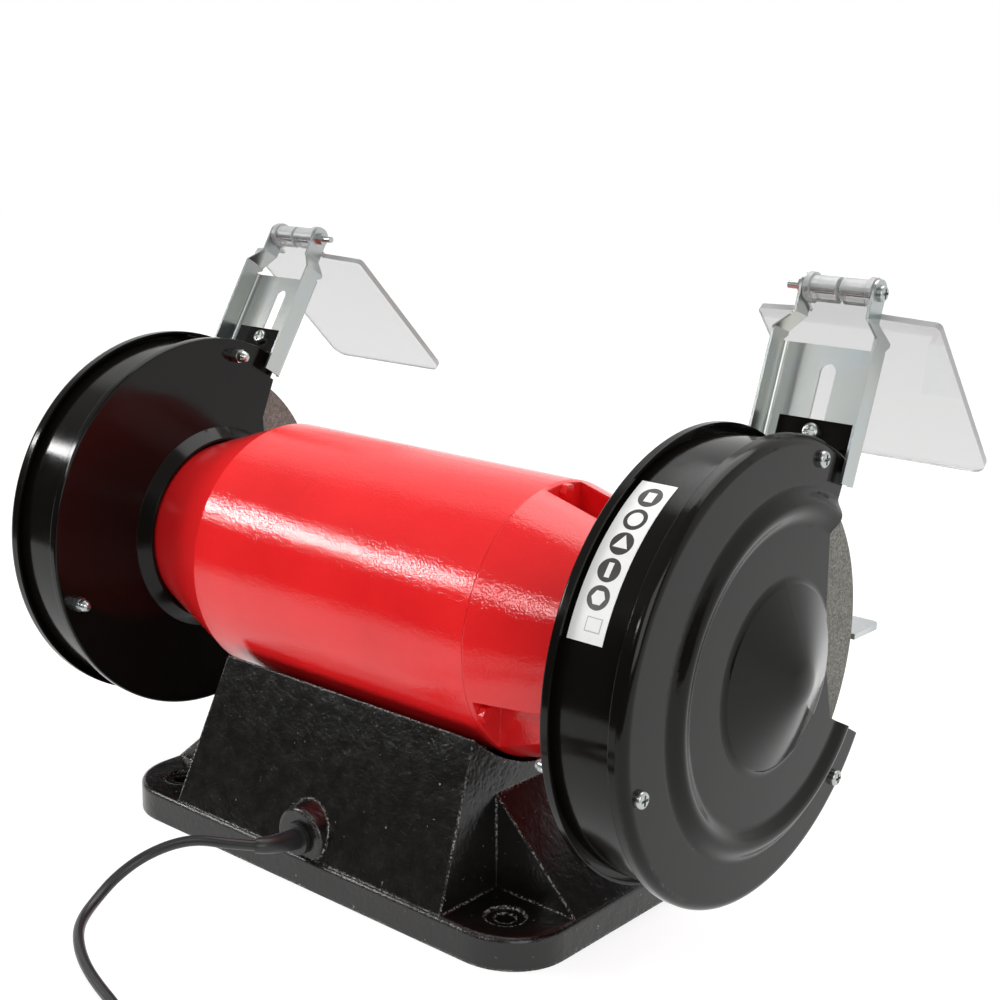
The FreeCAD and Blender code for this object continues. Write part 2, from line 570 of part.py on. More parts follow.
def pressed_centre():
    """Embossed ring and central cone of the outer cover, turned about the shaft."""
    ring = [(97.0, 0.0), (93.5, 0.7), (90.5, 3.0), (87.0, 4.6), (83.0, 3.7), (79.5, 1.6), (76.0, 0.8)]
    foot = [(51.5, 0.8), (49.5, 1.2), (47.5, 2.4)]
    apex = [(12.0, 15.6), (7.0, 17.1), (0.0, 17.8)]

    def skin(shift):
        edges = []
        for points in (ring, foot, apex):
            places = [V(GUARD_X1 + h + shift, 0, SHAFT_Z + r) for r, h in points]
            if edges:
                edges.append(Part.makeLine(edges[-1].Vertexes[-1].Point, places[0]))
            curve = Part.BSplineCurve()
            curve.interpolate(places)
            edges.append(curve.toShape())
        return edges

    outer, under = skin(0.0), skin(-SHEET)
    rim = Part.makeLine(outer[0].Vertexes[0].Point, under[0].Vertexes[0].Point)
    axis = Part.makeLine(outer[-1].Vertexes[-1].Point, under[-1].Vertexes[-1].Point)
    wire = Part.Wire(Part.__sortEdges__(outer + [axis] + under + [rim]))
    return Part.Face(wire).revolve(V(0, 0, SHAFT_Z), V(1, 0, 0), 360)


def guard_cover(side):
    x1 = GUARD_X1
    drum = cyl_x(x1 - OUTER_LIP, x1, GUARD_R, GUARD_Y, GUARD_Z)
    rim = [e for e in drum.Edges if abs(e.CenterOfMass.x - x1) < 0.01]
    drum = drum.makeFillet(COVER_EDGE_R, rim)
    hollow = cyl_x(x1 - OUTER_LIP - 1, x1 - SHEET, GUARD_R - SHEET, GUARD_Y, GUARD_Z)
    rim = [e for e in hollow.Edges if abs(e.CenterOfMass.x - (x1 - SHEET)) < 0.01]
    hollow = hollow.makeFillet(COVER_EDGE_R - SHEET, rim)
    cover = drum.cut(hollow).cut(cyl_x(x1 - 9, x1 + 9, 97.0))
    cover = cover.fuse(pressed_centre()).cut(front_opening())
    for y, z in guard_screw_places(side):
        cover = cover.cut(cyl_x(x1 - 9, x1 + 9, 2.7, y, z))
    return mirror_to(side, cover.cut(bracket_space(side)).removeSplitter())


def tab_frame(side):
    """Origin and axes of a shield tab: x along the shaft, u up the tab, n out of its back."""
    lean = math.radians(TAB_LEAN[side])
    origin = V(0, TAB_Y[side], TAB_Z[side])
    return origin, V(0, -math.sin(lean), math.cos(lean)), V(0, math.cos(lean), math.sin(lean))


def on_tab(side, shape):
    """Places a shape drawn with x along the shaft, y up the tab and z out of its back."""
    origin, up, back = tab_frame(side)
    lifted = shape.copy()
    lifted.transformShape(FreeCAD.Matrix(1, 0, 0, origin.x, 0, up.y, back.y, origin.y,
                                         0, up.z, back.z, origin.z, 0, 0, 0, 1), True)
    return lifted


def guard_band(side):
    """Hoop that leaves its circle near the top, runs straight and turns up into the shield tab."""
    x0, x1 = GUARD_X0 + SHEET + 0.1, GUARD_X1 - SHEET - 0.1
    centre = (x0 + x1) / 2
    wide = 400.0
    sweep = [BAND_FLAT_ANGLE + (BAND_LOW_ANGLE + 360 - BAND_FLAT_ANGLE) * i / 4 for i in range(5)]
    gap = [(GUARD_Y, GUARD_Z)] + [polar(a, wide) for a in sweep]
    band = ring_x(x0, x1, BAND_R, BAND_R - SHEET, GUARD_Y, GUARD_Z).cut(prism_x(gap, x0 - 1, x1 + 1))
    turn = math.radians(BAND_FLAT_ANGLE)
    ahead = (-math.sin(turn), math.cos(turn))
    origin, up, back = tab_frame(side)
    start_in, start_out = polar(BAND_FLAT_ANGLE, BAND_R - SHEET), polar(BAND_FLAT_ANGLE, BAND_R)
    # distances along the straight run and down the tab to where they meet
    dy, dz = origin.y - start_out[0], origin.z - start_out[1]
    run = dy * ahead[0] + dz * ahead[1] + 8.0
    end_in, end_out = [(y + ahead[0] * run, z + ahead[1] * run) for y, z in (start_in, start_out)]
    flat = prism_x([start_in, start_out, end_out, end_in], x0, GUARD_X1 - COVER_EDGE_R - 0.2)
    for lip0, lip1 in ((GUARD_X0, GUARD_X0 + INNER_LIP + 0.2), (GUARD_X1 - OUTER_LIP - 0.2, GUARD_X1)):
        flat = flat.cut(ring_x(lip0, lip1, GUARD_R + 0.2, GUARD_R - SHEET - 0.2, GUARD_Y, GUARD_Z))
    height = dy * math.cos(turn) + dz * math.sin(turn)
    reach = (height + SHEET) / (up.y * math.cos(turn) + up.z * math.sin(turn))
    tab = Part.makeBox(2 * TAB_HALF, TAB_TOP + reach, SHEET, V(centre - TAB_HALF, -reach, 0))
    tab = tab.cut(Part.makeCylinder(3.1, 9, V(BRACKET_X, 0, -3)))
    front_space = Part.makeBox(x1 - x0 + 2, 60, 30, V(x0 - 1, -reach - 30, -30))
    flat = flat.cut(on_tab(side, front_space))
    slot = box(*BAND_SLOT, GUARD_Z, GUARD_Z + 2 * GUARD_R)
    return mirror_to(side, band.fuse([flat.cut(slot), on_tab(side, tab)]).removeSplitter())


def guard_label():
    """Thin pictogram label on the back of the left guard band."""
    strip = ring_x(LABEL_X0, LABEL_X1, BAND_R + 0.3, BAND_R + 0.03, GUARD_Y, GUARD_Z)
    angles = (LABEL_LOW, (LABEL_LOW + LABEL_HIGH) / 2, LABEL_HIGH)
    wedge = [(GUARD_Y, GUARD_Z)] + [polar(a, 300.0) for a in angles]
    return strip.common(prism_x(wedge, LABEL_X0 - 1, LABEL_X1 + 1))


# ---- eye shields ----------------------------------------------------------------------------
def slot_cutter(length0, length1, half, x, depth):
    straight = length1 - length0 - 2 * half
    bar = Part.makeBox(2 * half, straight, 2 * depth, V(x - half, length0 + half, -depth))
    for end in (length0 + half, length1 - half):
        bar = bar.fuse(Part.makeCylinder(half, 2 * depth, V(x, end, -depth)))
    return bar


def shield_bracket(side):
    """Channel with a slotted web and rounded bends; its two ears step inwards to the hinge bolt."""
    t, half, x = BRACKET_SHEET, BRACKET_HALF, BRACKET_X
    low, high = -t - 0.15, FLANGE_DEPTH - 0.15
    skins = []
    for inset, bend in ((0.0, BEND_R), (t, BEND_R - t)):
        corner = V(x - half + inset, FLANGE_BOTTOM, low + inset)
        block = Part.makeBox(2 * (half - inset), WEB_TOP - FLANGE_BOTTOM, 40.0, corner)
        corners = [e for e in block.Edges if e.BoundBox.YLength > 10 and e.BoundBox.ZMax < 10]
        skins.append(block.makeFillet(bend, corners))
    channel = skins[0].cut(skins[1])
    channel = channel.common(Part.makeBox(120, 200, high - low, V(x - 60, -100, low)))
    channel = channel.cut(Part.makeBox(2 * (half - BEND_R), WEB_BOTTOM - FLANGE_BOTTOM, 9,
                                       V(x - half + BEND_R, FLANGE_BOTTOM, low - 1)))
    bracket = channel.cut(slot_cutter(SLOT_BOTTOM, SLOT_TOP, SLOT_HALF, x, 5))
    jog0, jog1 = WEB_TOP + 5.0, WEB_TOP + 14.0
    for sign in (-1, 1):
        outer, inner = half, half - t
        ear_out, ear_in = EAR_HALF + t, EAR_HALF
        strip = [(outer, WEB_TOP), (outer, jog0), (ear_out, jog1), (ear_out, HINGE_UP + EAR_R),
                 (ear_in, HINGE_UP + EAR_R), (ear_in, jog1), (inner, jog0), (inner, WEB_TOP)]
        corners = [V(x + sign * a, b, low) for a, b in strip]
        wall = Part.Face(Part.makePolygon(corners + [corners[0]])).extrude(V(0, 0, FLANGE_DEPTH + t))
        outline = [(WEB_TOP, low + BEND_R), (WEB_TOP, high), (WEB_TOP + 4, high),
                   (WEB_TOP + 12, HINGE_OUT + EAR_R), (HINGE_UP, HINGE_OUT + EAR_R),
                   (HINGE_UP, HINGE_OUT - EAR_R), (WEB_TOP + 12, low), (WEB_TOP + 3, low)]
        side_view = [V(x - 60, b, c) for b, c in outline]
        mask = Part.Face(Part.makePolygon(side_view + [side_view[0]])).extrude(V(120, 0, 0))
        mask = mask.fuse(Part.makeCylinder(EAR_R, 120, V(x - 60, HINGE_UP, HINGE_OUT), V(1, 0, 0)))
        bracket = bracket.fuse(wall.common(mask))
    pin = Part.makeCylinder(HINGE_PIN_R + 0.05, 120, V(x - 60, HINGE_UP, HINGE_OUT), V(1, 0, 0))
    bracket = bracket.cut(pin)
    return mirror_to(side, on_tab(side, bracket.removeSplitter()))


def hinge_place(side):
    origin, up, back = tab_frame(side)
    return origin + up * HINGE_UP + back * HINGE_OUT


def hinge_bolt(side):
    """Pan-head bolt from the outer ear; its threaded end stands out of the nut."""
    place = hinge_place(side)
    seat = BRACKET_X + EAR_HALF + BRACKET_SHEET + 0.02
    return mirror_to(side, pan_screw_x(seat, 1, 4.2, 2.8, HINGE_PIN_R, 52.0, place.y, place.z))


def hinge_nut(side):
    place = hinge_place(side)
    face = BRACKET_X - EAR_HALF - BRACKET_SHEET - 0.02
    return mirror_to(side, hex_nut_x(face, face - 3.2, 7.0, HINGE_PIN_R + 0.02, place.y, place.z))


def eye_shield(side):
    """Clear plate with two knuckles; drawn flat in its own plane, then tilted."""
    half, t = SHIELD_HALF, SHIELD_T
    neck, neck_end, shoulder = EAR_HALF - 1.2, 12.0, 14.0
    offset = -KNUCKLE_R
    outline = [(-neck, 1.0), (neck, 1.0), (neck, neck_end), (half, shoulder), (half, SHIELD_LENGTH),
               (-half, SHIELD_LENGTH), (-half, shoulder), (-neck, neck_end)]
    corners = [V(a, b, offset) for a, b in outline]
    plate = Part.Face(Part.makePolygon(corners + [corners[0]])).extrude(V(0, 0, t))
    for level, radius in ((SHIELD_LENGTH, 9.0), (shoulder, 3.0)):
        upright = [e for e in plate.Edges if e.BoundBox.ZLength > t - 0.1]
        plate = plate.makeFillet(radius, [e for e in upright if abs(e.CenterOfMass.y - level) < 0.1])
    for x0, x1 in ((-neck - 0.6, -1.2), (1.2, neck + 0.6)):
        plate = plate.fuse(Part.makeCylinder(KNUCKLE_R, x1 - x0, V(x0, 0, 0), V(1, 0, 0)))
    for x0, x1 in ((-neck - 0.6, -neck + 2.6), (neck - 2.6, neck + 0.6)):
        plate = plate.fuse(Part.makeCylinder(KNUCKLE_R + 1.4, x1 - x0, V(x0, 0, 0), V(1, 0, 0)))
    plate = plate.cut(Part.makeBox(2.4, 12, 30, V(-1.2, -9.5, -15)))
    plate = plate.cut(Part.makeCylinder(HINGE_PIN_R + 0.08, 100, V(-50, 0, 0), V(1, 0, 0))).removeSplitter()
    tilt = math.radians(SHIELD_TILT[side])
    down = V(0, -math.cos(tilt), -math.sin(tilt))
    out = V(0, -math.sin(tilt), math.cos(tilt))
    place = hinge_place(side)
    return mirror_to(side, placed(plate, V(BRACKET_X, place.y, place.z), V(1, 0, 0), down, out))


def bracket_fasteners(side):
    """Pan-head screw through the tab and the bracket's slot, with its washer and nut in front."""
    head = Part.makeCylinder(4.7, 3.4, V(BRACKET_X, 0, SHEET + 0.05))
    head = head.makeFillet(1.8, [e for e in head.Edges if e.CenterOfMass.z > SHEET + 3.3])
    for hx, hy in ((0.8, 3.1), (3.1, 0.8)):
        head = head.cut(Part.makeBox(2 * hx, 2 * hy, 3, V(BRACKET_X - hx, -hy, SHEET + 1.9)))
    screw = head.fuse(Part.makeCylinder(2.95, 15, V(BRACKET_X, 0, SHEET + 0.05 - 15)))
    front = -BRACKET_SHEET - 0.35
    washer = Part.makeCylinder(6.2, 1.2, V(BRACKET_X, 0, front - 1.2)).cut(
        Part.makeCylinder(3.1, 9, V(BRACKET_X, 0, front - 5)))
    nut = hexagon_z(V(BRACKET_X, 0, front - 6.3), 10.0, 5.0)
    nut = nut.cut(Part.makeCylinder(3.0, 9, V(BRACKET_X, 0, front - 8)))
    return [mirror_to(side, on_tab(side, s)) for s in (screw, washer, nut)]


# ---- tool rests -----------------------------------------------------------------------------
REST_ARM_SCREWS = ((-62.0, 99.5), (-78.0, 95.5))
ARM_X0 = REST_X0 + REST_T + 0.3


def tool_rest(side):
    """Flat table in front of the wheel on a slotted upright that slides on the arm."""
    table = box(REST_X0, REST_X1, REST_FRONT, REST_BACK, REST_Z - REST_T, REST_Z)
    upright = [e for e in table.Edges if e.BoundBox.ZLength > REST_T - 0.1]
    tips = [e for e in upright if e.CenterOfMass.y < REST_FRONT + 1 and e.CenterOfMass.x > REST_X1 - 1]
    table = table.makeFillet(6.0, tips)
    outline = [(REST_FRONT + 8, REST_Z - 1), (REST_FRONT + 16, 108.0), (-77.0, 108.0), (-77.0, 128.0),
               (REST_BACK, REST_Z - 1)]
    wall = prism_x(outline, REST_X0, REST_X0 + REST_T)
    rest = table.fuse(wall)
    y, z = REST_BOLT
    slot = box(REST_X0 - 1, REST_X0 + REST_T + 1, y, y + 13, z - 3.3, z + 3.3)
    for end in (y, y + 13):
        slot = slot.fuse(cyl_x(REST_X0 - 1, REST_X0 + REST_T + 1, 3.3, end, z))
    return mirror_to(side, rest.cut(slot).removeSplitter())


def rest_arm(side):
    outline = [(-60.0, 86.0), (-93.0, 86.0), (-105.0, 98.0), (-105.0, 128.0), (-87.0, 128.0),
               (-60.0, 106.5)]
    arm = prism_x(outline, ARM_X0, GUARD_X0 - 0.05)
    for y, z in REST_ARM_SCREWS:
        arm = arm.cut(cyl_x(ARM_X0 - 1, GUARD_X0 + 1, 2.7, y, z))
    return mirror_to(side, arm.cut(cyl_x(ARM_X0 - 1, GUARD_X0 + 1, 3.1, *REST_BOLT)))


def rest_arm_screws():
    screws = []
    seat = GUARD_X0 + SHEET + 0.02
    for side in SIDES:
        for y, z in REST_ARM_SCREWS:
            screws.append(mirror_to(side, pan_screw_x(ARM_X0 - 0.02, -1, 4.4, 2.6, 2.5, 12.0, y, z)))
            screws.append(mirror_to(side, hex_nut_x(seat, seat + 3.8, 8.0, 2.52, y, z)))
    return screws


def rest_clamp_bolts():
    bolts = []
    y, z = REST_BOLT
    for side in SIDES:
        seat = REST_X0 - 0.25
        washer = ring_x(seat - 1.2, seat, 7.5, 3.1, y, z)
        head = hexagon_x(seat - 5.4, seat - 1.25, 10.0, y, z)
        bolt = head.fuse(cyl_x(seat - 2.0, GUARD_X0 + 7.5, 2.95, y, z))
        nut = hex_nut_x(GUARD_X0 + 0.02, GUARD_X0 + 5.0, 10.0, 3.0, y, z)
        bolts += [mirror_to(side, s) for s in (washer, bolt, nut)]
    return bolts


# ---- guard fasteners ------------------------------------------------------------------------
def cover_screws():
    return [mirror_to(side, pan_screw_x(GUARD_X1 + 0.02, 1, 4.4, 3.0, 2.45, 53.0, y, z))
            for side in SIDES for y, z in guard_screw_places(side)]


def cover_nuts():
    return [mirror_to(side, dome_nut_x(GUARD_X0 - 0.02, -1, 8.0, 2.5, y, z))
            for side in SIDES for y, z in guard_screw_places(side)]


def guard_mount_screws():
    return [mirror_to(side, pan_screw_x(GUARD_X0 + SHEET + 0.02, 1, 5.2, 3.2, 2.95, 14.0, y, z))
            for side in SIDES for y, z in mount_screw_places()]


# ---- electrical parts inside the base -------------------------------------------------------
def run_capacitor():
    can = Part.makeCylinder(19.0, 72.0, V(-80, 30, 26), V(1, 0, 0))
    can = can.makeFillet(2.0, [e for e in can.Edges if e.BoundBox.XLength < 0.01])
    for dy in (-6, 6):
        can = can.fuse(Part.makeBox(8, 0.8, 6.3, V(-8, 30 + dy, 23)))
    return can


def capacitor_clip():
    strap = Part.makeCylinder(21.0, 14.0, V(-52, 30, 26), V(1, 0, 0))
    strap = strap.cut(Part.makeCylinder(19.1, 20.0, V(-55, 30, 26), V(1, 0, 0)))
    strap = strap.common(box(-60, -30, 0, 60, 14, 60))
    for y in (4.0, 49.0):
        strap = strap.fuse(box(-52, -38, y, y + 7.2, 14, 15.8))
    return strap.common(box(-60, -30, 2, 58, 0, 60)).removeSplitter()


def terminal_block():
    block = box(20, 68, -14, 6, 12, 27)
    for i in range(4):
        x = 26 + 12 * i
        block = block.cut(Part.makeCylinder(3.0, 8, V(x, -9, 20)))
        block = block.cut(Part.makeCylinder(3.0, 8, V(x, 1, 20)))
    return block


# ---- the whole grinder ----------------------------------------------------------------------
add("base_casting", base_casting())
add("bottom_plate", bottom_plate())
add("bottom_plate_screws", *bottom_plate_screws())
add("switch_body", switch_body())
add("switch_rocker", switch_rocker())
add("run_capacitor", run_capacitor())
add("capacitor_clip", capacitor_clip())
add("terminal_block", terminal_block())
add("strain_relief", strain_relief())

coil_ring = coil()
lead = round_tube([RELIEF_END] + [V(*p) for p in CORD_POINTS], "cord")
tail = round_tube([V(*p) for p in TAIL_POINTS], "tail")
add("cord", lead.cut(coil_ring), tail.cut(coil_ring))
add("cord_coil", coil_ring)
add("coil_tie", coil_tie(coil_ring))
plug_body, plug_pins = plug()
add("plug_body", plug_body)
add("plug_pins", *plug_pins)

add("motor_housing", motor_housing())
add("end_cover", end_cover())
add("end_cover_bolts", *end_cover_bolts())
add("motor_mount_bolts", *motor_mount_bolts())
add("stator_core", stator_core())
add("stator_windings", stator_windings())
add("rotor_core", rotor_core())
add("shaft", shaft())
add("bearing_outer_rings", *bearing_rings(False))
add("bearing_inner_rings", *bearing_rings(True))
add("bearing_balls", *bearing_balls())
add("preload_washer", preload_washer())
add("wheel_flanges", *wheel_flanges())
add("wheel_blotters", *wheel_blotters())
add("arbor_nuts", *arbor_nuts())
add("cover_screws", *cover_screws())
add("cover_nuts", *cover_nuts())
add("guard_mount_screws", *guard_mount_screws())
add("guard_label", guard_label())
add("rest_arm_screws", *rest_arm_screws())
add("rest_clamp_bolts", *rest_clamp_bolts())

for name in SIDES:
    add("wheel_" + name, wheel(name))
    add("guard_inner_" + name, guard_inner(name))
    add("guard_band_" + name, guard_band(name))
    add("guard_cover_" + name, guard_cover(name))
    add("shield_bracket_" + name, shield_bracket(name))
    add("bracket_screw_" + name, *bracket_fasteners(name))
    add("hinge_bolt_" + name, hinge_bolt(name))
    add("hinge_nut_" + name, hinge_nut(name))
    add("eye_shield_" + name, eye_shield(name))
    add("tool_rest_" + name, tool_rest(name))
    add("rest_arm_" + name, rest_arm(name))

os.makedirs("parts", exist_ok=True)
for name, shape in parts.items():
    shape.exportStep("parts/" + name + ".step")
    b = shape.BoundBox
    print(name, len(shape.Solids), shape.isValid(), round(shape.Volume / 1000, 2),
          [round(v, 1) for v in (b.XMin, b.XMax, b.YMin, b.YMax, b.ZMin, b.ZMax)])
print("nodes", len(parts))
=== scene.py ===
import json
import math
import bpy
from mathutils import Matrix, Vector


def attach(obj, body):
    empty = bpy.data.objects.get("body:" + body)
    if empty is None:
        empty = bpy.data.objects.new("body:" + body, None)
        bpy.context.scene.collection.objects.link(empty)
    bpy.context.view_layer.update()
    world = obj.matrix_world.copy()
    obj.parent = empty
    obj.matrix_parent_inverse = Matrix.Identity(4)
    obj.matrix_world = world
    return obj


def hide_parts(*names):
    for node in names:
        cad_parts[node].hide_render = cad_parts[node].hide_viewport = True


# Bench grinder seen from behind.  The CAD nodes carry the shape; the pieces made here are the mains
# lead and the printed marks on the label.  Metres, in the CAD's frame, where no heading says
# millimetres.

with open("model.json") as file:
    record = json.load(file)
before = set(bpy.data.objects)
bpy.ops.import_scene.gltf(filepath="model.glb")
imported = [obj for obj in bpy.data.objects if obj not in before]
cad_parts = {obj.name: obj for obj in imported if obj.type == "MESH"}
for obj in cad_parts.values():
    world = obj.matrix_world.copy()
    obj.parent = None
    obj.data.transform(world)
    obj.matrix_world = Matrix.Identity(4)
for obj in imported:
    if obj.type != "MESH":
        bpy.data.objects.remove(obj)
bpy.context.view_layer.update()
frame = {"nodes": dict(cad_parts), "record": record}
nodes = frame["nodes"]
MM = 0.001


def link(thing):
    bpy.context.scene.collection.objects.link(thing)


# ---- camera ---------------------------------------------------------------------------------
CAMERA_PLACE = (-0.62357, 0.6996, 0.43752)
CAMERA_YAW, CAMERA_PITCH, CAMERA_ROLL = 42.08, -16.56, 0.9
CAMERA_SENSOR, CAMERA_LENS = 36.0, 60.38
CAMERA_SHIFT = (0.0841, 0.0781)


def make_camera():
    yaw, pitch, roll = map(math.radians, (CAMERA_YAW, CAMERA_PITCH, CAMERA_ROLL))
    forward = Vector((math.sin(yaw) * math.cos(pitch), -math.cos(yaw) * math.cos(pitch),
                      math.sin(pitch)))
    level_right = forward.cross(Vector((0, 0, 1))).normalized()
    level_up = level_right.cross(forward)
    right = level_right * math.cos(roll) + level_up * math.sin(roll)
    up = level_up * math.cos(roll) - level_right * math.sin(roll)
    data = bpy.data.cameras.new("camera")
    data.sensor_width = CAMERA_SENSOR
    data.lens = CAMERA_LENS
    data.shift_x, data.shift_y = CAMERA_SHIFT
    data.clip_start, data.clip_end = 0.05, 20.0
    camera = bpy.data.objects.new("camera", data)
    axes = Matrix((right, up, -forward)).transposed().to_4x4()
    camera.matrix_world = Matrix.Translation(CAMERA_PLACE) @ axes
    link(camera)
    bpy.context.scene.camera = camera


make_camera()


# ---- mains lead: millimetres ----------------------------------------------------------------
CORD_EXIT = (6.2, 130.4, 31.0)
# from the strain relief down to the bench and along it to the coil
ROUTE = [
    (18.5, 141.0, 31.8), (33.0, 149.0, 32.3), (46.0, 158.0, 28.0), (56.0, 171.0, 21.0),
    (60.0, 186.0, 13.0), (58.0, 200.0, 6.5), (52.0, 214.0, 3.2), (41.0, 226.0, 3.1),
    (26.0, 236.5, 3.1), (9.0, 245.4, 3.1), (-10.0, 252.5, 3.1), (-29.0, 258.0, 3.1),
    (-49.0, 264.5, 3.1), (-69.5, 273.5, 3.1),
]
# from the coil up into the plug
TAIL = [
    (-87.0, 357.0, 7.4), (-76.0, 370.0, 5.6), (-67.5, 385.0, 8.0), (-61.5, 402.0, 14.5),
    (-57.0, 419.0, 18.2),
]
COIL_CENTRE = (-78.0, 316.0)
COIL_START, COIL_END = -110.0, 130.0
COIL_WHOLE_TURNS = 7
COIL_POINTS_PER_TURN = 14
# turn, radius and height: a bottom layer worked inwards, then a second one on it worked outwards
COIL_LAY = [
    (0.0, 34.0, 3.3), (0.5, 38.0, 4.1), (1.5, 39.2, 4.1), (1.8, 32.9, 4.1), (2.7, 32.8, 4.1),
    (3.0, 26.6, 4.1), (3.8, 26.6, 4.1), (4.1, 26.6, 10.3), (4.9, 26.8, 10.3), (5.2, 32.8, 10.3),
    (6.1, 33.0, 10.3), (6.4, 39.2, 10.3), (7.34, 39.3, 10.0),
]
CORD_DIAMETER = 6.0 * MM


def coil_points():
    total = COIL_WHOLE_TURNS + (360 + COIL_START - COIL_END) / 360
    steps = round(total * COIL_POINTS_PER_TURN)
    # the spline runs inside its control points, so they stand out a little
    stand_out = math.cos(math.pi / COIL_POINTS_PER_TURN) ** 2 * 0.75 + 0.25
    points = []
    for i in range(steps + 1):
        turn = total * i / steps
        angle = math.radians(COIL_START) - math.tau * turn
        for (t0, r0, z0), (t1, r1, z1) in zip(COIL_LAY, COIL_LAY[1:]):
            if t0 <= turn <= t1:
                s = (turn - t0) / (t1 - t0)
                radius, height = r0 + (r1 - r0) * s, z0 + (z1 - z0) * s
        radius /= stand_out
        points.append((COIL_CENTRE[0] + radius * math.cos(angle),
                       COIL_CENTRE[1] + radius * math.sin(angle), height))
    return points


def make_cord():
    points = [CORD_EXIT] + ROUTE + coil_points() + TAIL
    curve = bpy.data.curves.new("mains_lead", "CURVE")
    curve.dimensions = "3D"
    # the thickness comes from the points' own radius
    curve.bevel_depth = 1.0
    curve.bevel_resolution = 6
    curve.resolution_u = 6
    spline = curve.splines.new("NURBS")
    spline.points.add(len(points) - 1)
    for point, place in zip(spline.points, points):
        point.co = (place[0] * MM, place[1] * MM, place[2] * MM, 1.0)
        point.radius = CORD_DIAMETER / 2
    spline.order_u = 3
    spline.use_endpoint_u = True
    lead = bpy.data.objects.new("mains_lead", curve)
    link(lead)
    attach(lead, "grinder")
    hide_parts("cord", "cord_coil")
    return lead


mains_lead = make_cord()


# ---- shader helpers -------------------------------------------------------------------------
def opaque(colour):
    return (*colour, 1.0)


class Shader:
    """A principled material and the few node patterns that the finishes share."""

    def __init__(self, name, colour, roughness, metallic=0.0, specular=0.5):
        self.material = bpy.data.materials.new(name)
        self.material.use_nodes = True
        self.tree = self.material.node_tree
        self.bsdf = self.tree.nodes["Principled BSDF"]
        self.bsdf.inputs["Base Color"].default_value = opaque(colour)
        self.bsdf.inputs["Roughness"].default_value = roughness
        self.bsdf.inputs["Metallic"].default_value = metallic
        self.bsdf.inputs["Specular IOR Level"].default_value = specular
        self.place = self.tree.nodes.new("ShaderNodeTexCoord").outputs["Object"]
        self.normal = None

    def fill(self, socket, value):
        """Links an output to the socket, or sets a constant on it."""
        if isinstance(value, bpy.types.NodeSocket):
            self.tree.links.new(value, socket)
        else:
            socket.default_value = value

    def node(self, kind, **inputs):
        made = self.tree.nodes.new(kind)
        for key, value in inputs.items():
            self.fill(made.inputs[key.replace("_", " ")], value)
        return made

    def stretched(self, x, y, z):
        """Object coordinates scaled unevenly, for brushed or streaky patterns."""
        return self.node("ShaderNodeMapping", Vector=self.place, Scale=(x, y, z)).outputs["Vector"]

    def noise(self, scale, detail=3.0, rough=0.5, place=None):
        return self.node("ShaderNodeTexNoise", Vector=place or self.place, Scale=scale,
                         Detail=detail, Roughness=rough).outputs["Fac"]

    def cells(self, scale):
        return self.node("ShaderNodeTexVoronoi", Vector=self.place, Scale=scale)

    def between(self, value, low, high, out_low=0.0, out_high=1.0):
        """Maps a value from one range to another, clamped."""
        return self.node("ShaderNodeMapRange", Value=value, From_Min=low, From_Max=high,
                         To_Min=out_low, To_Max=out_high).outputs["Result"]

    def maths(self, operation, a, b):
        made = self.tree.nodes.new("ShaderNodeMath")
        made.operation = operation
        self.fill(made.inputs[0], a)
        self.fill(made.inputs[1], b)
        return made.outputs[0]

    def dot(self, a, b):
        made = self.tree.nodes.new("ShaderNodeVectorMath")
        made.operation = "DOT_PRODUCT"
        self.fill(made.inputs[0], a)
        self.fill(made.inputs[1], b)
        return made.outputs["Value"]

    def mixed(self, factor, a, b):
        """Mix of two colours, each an output or three numbers."""
        made = self.tree.nodes.new("ShaderNodeMix")
        made.data_type = "RGBA"
        self.fill(made.inputs[0], factor)
        for socket, value in ((made.inputs[6], a), (made.inputs[7], b)):
            self.fill(socket, value if isinstance(value, bpy.types.NodeSocket) else opaque(value))
        return made.outputs[2]

    def colour(self, socket):
        self.tree.links.new(socket, self.bsdf.inputs["Base Color"])

    def roughness(self, socket):
        self.tree.links.new(socket, self.bsdf.inputs["Roughness"])

    def use_normal(self, socket):
        self.normal = socket
        self.tree.links.new(socket, self.bsdf.inputs["Normal"])

    def rounded(self, radius):
        """Shades sharp edges as if they had a small round."""
        self.use_normal(self.node("ShaderNodeBevel", Radius=radius).outputs["Normal"])

    def edge_wear(self, radius, soft):
        """1 at sharp edges, 0 a radius away from them."""
        bent = self.node("ShaderNodeBevel", Radius=radius).outputs["Normal"]
        flat = self.tree.nodes.new("ShaderNodeNewGeometry").outputs["Normal"]
        return self.between(self.dot(bent, flat), 1.0 - soft, 0.995, 1.0, 0.0)

    def bump(self, height, strength, depth):
        made = self.node("ShaderNodeBump", Height=height, Strength=strength, Distance=depth)
        if self.normal is not None:
            self.tree.links.new(self.normal, made.inputs["Normal"])
        self.use_normal(made.outputs["Normal"])


# ---- materials ------------------------------------------------------------------------------
BLACK = (0.0048, 0.0042, 0.0036)


def guard_paint():
    """Gloss black enamel on pressed sheet: faint waves, fine dust in the paint."""
    s = Shader("guard_paint", BLACK, 0.12, specular=0.2)
    s.rounded(0.0007)
    s.bump(s.noise(16.0, detail=2.0), strength=0.10, depth=0.002)
    s.bump(s.noise(380.0), strength=0.05, depth=0.0003)
    s.roughness(s.between(s.noise(60.0, detail=5.0), 0.3, 0.7, 0.09, 0.17))
    specks = s.between(s.cells(700.0).outputs["Distance"], 0.0, 0.08, 1.0, 0.0)
    dusty = s.between(s.noise(90.0), 0.6, 0.72)
    s.colour(s.mixed(s.maths("MULTIPLY", specks, dusty), BLACK, (0.06, 0.055, 0.05)))
    return s.material


